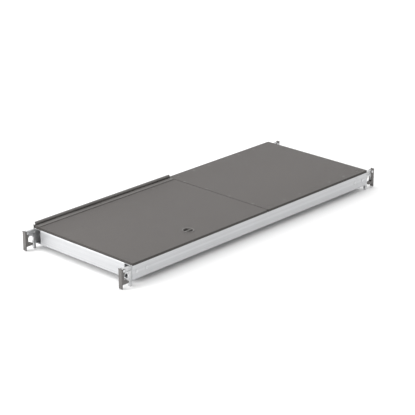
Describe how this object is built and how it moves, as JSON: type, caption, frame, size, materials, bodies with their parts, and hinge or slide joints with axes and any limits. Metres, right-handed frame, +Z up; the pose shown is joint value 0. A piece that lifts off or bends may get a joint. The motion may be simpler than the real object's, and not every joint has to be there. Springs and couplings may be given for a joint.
{
  "type": "scaffold plank",
  "caption": "Trapdoor deck for an access tower: plywood on hollow aluminium beams, hung on the rungs by hooks with wind locks.",
  "frame": {"origin": "centre of the deck's plan, level with the undersides of the hooks' feet", "axes": "+X along the deck towards the end away from the trapdoor, +Y across it towards the trapdoor's hinge, +Z up"},
  "size_m": [1.7632, 0.655, 0.1236],
  "materials": {
    "extruded_aluminium": "mill-finish extrusion with fine lengthwise die lines, lightly scuffed",
    "cast_aluminium": "sand-cast, lightly bead blasted, edges rubbed bright",
    "filmed_plywood": "dark grey-brown phenolic film with a pressed non-slip mesh, matt, edges sealed dark",
    "coated_steel": "dark grey-brown powder coat, satin, close to the deck's own tone",
    "zinc_steel": "bright zinc plate, slightly dulled",
    "black_nylon": "moulded black glass-filled nylon, matt",
    "grey_nylon": "moulded dark grey glass-filled nylon, satin, close to the deck's own tone"
  },
  "bodies": {
    "frame": {"side_beam_front": "extruded_aluminium", "side_beam_rear": "extruded_aluminium", "end_beam_left": "extruded_aluminium", "end_beam_right": "extruded_aluminium", "center_cross_beam": "extruded_aluminium", "cleat_front_left": "extruded_aluminium", "cleat_front_right": "extruded_aluminium", "cleat_front_center": "extruded_aluminium", "cleat_rear_left": "extruded_aluminium", "cleat_rear_right": "extruded_aluminium", "cleat_rear_center": "extruded_aluminium", "deck_panel_fixed": "filmed_plywood", "deck_rivet_front_1": "coated_steel", "deck_rivet_front_2": "coated_steel", "deck_rivet_front_3": "coated_steel", "deck_rivet_rear_1": "coated_steel", "deck_rivet_rear_2": "coated_steel", "deck_rivet_rear_3": "coated_steel", "hook_front_left": "cast_aluminium", "wind_lock_pin_front_left": "zinc_steel", "hook_rivet_front_left_1": "zinc_steel", "hook_rivet_front_left_2": "zinc_steel", "hook_rear_left": "cast_aluminium", "wind_lock_pin_rear_left": "zinc_steel", "hook_rivet_rear_left_1": "zinc_steel", "hook_rivet_rear_left_2": "zinc_steel", "hook_front_right": "cast_aluminium", "wind_lock_pin_front_right": "zinc_steel", "hook_rivet_front_right_1": "zinc_steel", "hook_rivet_front_right_2": "zinc_steel", "hook_rear_right": "cast_aluminium", "wind_lock_pin_rear_right": "zinc_steel", "hook_rivet_rear_right_1": "zinc_steel", "hook_rivet_rear_right_2": "zinc_steel", "hinge_leaf_fixed": "coated_steel", "hinge_rod": "zinc_steel", "hinge_rivet_1": "zinc_steel", "hinge_rivet_2": "zinc_steel", "hinge_rivet_3": "zinc_steel", "hinge_rivet_4": "zinc_steel", "latch_strike": "zinc_steel", "strike_rivet_1": "zinc_steel", "strike_rivet_2": "zinc_steel"},
    "hatch": {"hatch_panel": "filmed_plywood", "hinge_leaf_lid": "coated_steel", "latch_cup": "grey_nylon", "hinge_screw_1": "coated_steel", "hinge_screw_2": "coated_steel", "hinge_screw_3": "coated_steel", "hinge_screw_4": "coated_steel"},
    "latch": {"latch_handle": "grey_nylon", "latch_spacer": "black_nylon", "latch_cam": "zinc_steel", "latch_nut": "zinc_steel"},
    "wind_lock_front_left": {"wind_lock_front_left": "grey_nylon"},
    "wind_lock_rear_left": {"wind_lock_rear_left": "grey_nylon"},
    "wind_lock_front_right": {"wind_lock_front_right": "grey_nylon"},
    "wind_lock_rear_right": {"wind_lock_rear_right": "grey_nylon"}
  },
  "joints": [
    {"name": "hatch_hinge", "type": "hinge", "parent": "frame", "child": "hatch", "pos_m": [-0.37675, 0.3168, 0.1156], "axis": [-1, 0, 0], "range_deg": [0, 100]},
    {"name": "latch_turn", "type": "hinge", "parent": "hatch", "child": "latch", "pos_m": [-0.37675, -0.234, 0.1], "axis": [0, 0, -1], "range_deg": [0, 90]},
    {"name": "wind_lock_front_left_swing", "type": "hinge", "parent": "frame", "child": "wind_lock_front_left", "pos_m": [-0.864, -0.3132, 0.086], "axis": [0, 1, 0], "range_deg": [0, 45]},
    {"name": "wind_lock_rear_left_swing", "type": "hinge", "parent": "frame", "child": "wind_lock_rear_left", "pos_m": [-0.864, 0.3132, 0.086], "axis": [0, 1, 0], "range_deg": [0, 45]},
    {"name": "wind_lock_front_right_swing", "type": "hinge", "parent": "frame", "child": "wind_lock_front_right", "pos_m": [0.864, -0.3132, 0.086], "axis": [0, -1, 0], "range_deg": [0, 45]},
    {"name": "wind_lock_rear_right_swing", "type": "hinge", "parent": "frame", "child": "wind_lock_rear_right", "pos_m": [0.864, 0.3132, 0.086], "axis": [0, -1, 0], "range_deg": [0, 45]}
  ]
}
